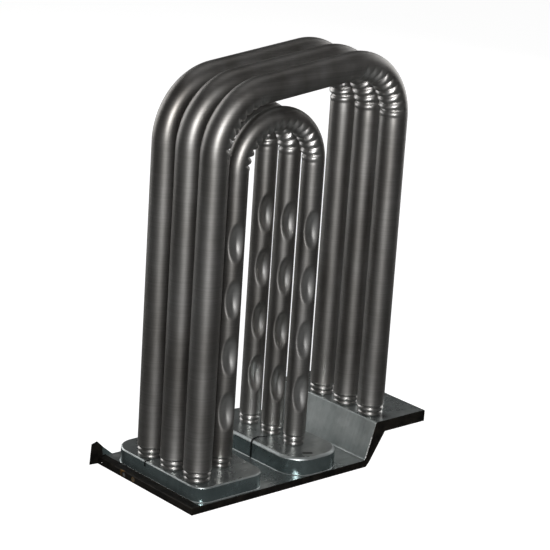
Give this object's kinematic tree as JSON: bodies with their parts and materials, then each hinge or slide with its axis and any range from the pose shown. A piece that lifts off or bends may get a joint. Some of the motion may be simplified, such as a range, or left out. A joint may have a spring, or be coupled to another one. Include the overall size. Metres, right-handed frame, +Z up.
{
  "type": "furnace heat exchanger",
  "caption": "Tubular furnace heat exchanger: tall bent tubes and dimpled hairpin tubes standing on a stepped sheet steel panel with drawn gas boxes.",
  "frame": {"origin": "middle of the part's outer box, on the plane that the panel's low rim stands on", "axes": "+Z up along the tubes, +X from the panel's low end to its raised end, +Y across the panel"},
  "size_m": [0.507, 0.2446, 0.6871],
  "materials": {
    "tube_steel": "aluminised steel tube, dull grey with fine draw marks",
    "galvanised_sheet": "galvanised sheet, grey-green, lightly stained",
    "cover_sheet": "galvanised sheet, plain"
  },
  "bodies": {
    "root": {"vest_panel": "galvanised_sheet", "primary_tube_near": "tube_steel", "primary_tube_middle": "tube_steel", "primary_tube_far": "tube_steel", "secondary_tube_near": "tube_steel", "secondary_tube_middle": "tube_steel", "secondary_tube_far": "tube_steel", "header_cover": "cover_sheet", "collector_cover": "cover_sheet"}
  },
  "joints": []
}
